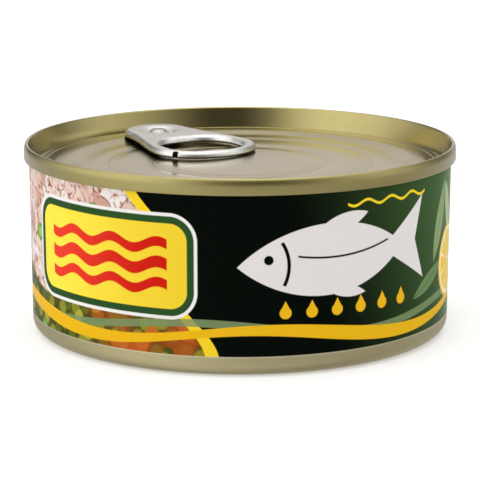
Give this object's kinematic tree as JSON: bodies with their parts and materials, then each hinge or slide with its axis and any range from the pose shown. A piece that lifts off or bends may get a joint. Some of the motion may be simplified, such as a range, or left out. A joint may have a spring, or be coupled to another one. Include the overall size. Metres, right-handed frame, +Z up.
{
  "type": "food can",
  "caption": "Shallow round food can, shut, with a sunk easy-open end in a double seam, a ring pull on a rivet, and a printed wall.",
  "frame": {"origin": "centre of the base, on the plane the can stands on", "axes": "+Z up along the can's axis to the end with the ring pull; the ring pull's nose lies between +Y and -X"},
  "size_m": [0.0874, 0.0874, 0.0381],
  "materials": {
    "printed_metal": "gloss print over gold lacquer",
    "gold_lacquer": "clear gold lacquer on bright sheet",
    "bright_metal": "bright rolled sheet"
  },
  "bodies": {
    "root": {"can_body": "printed_metal", "can_end": "gold_lacquer", "pull_tab": "bright_metal"}
  },
  "joints": []
}
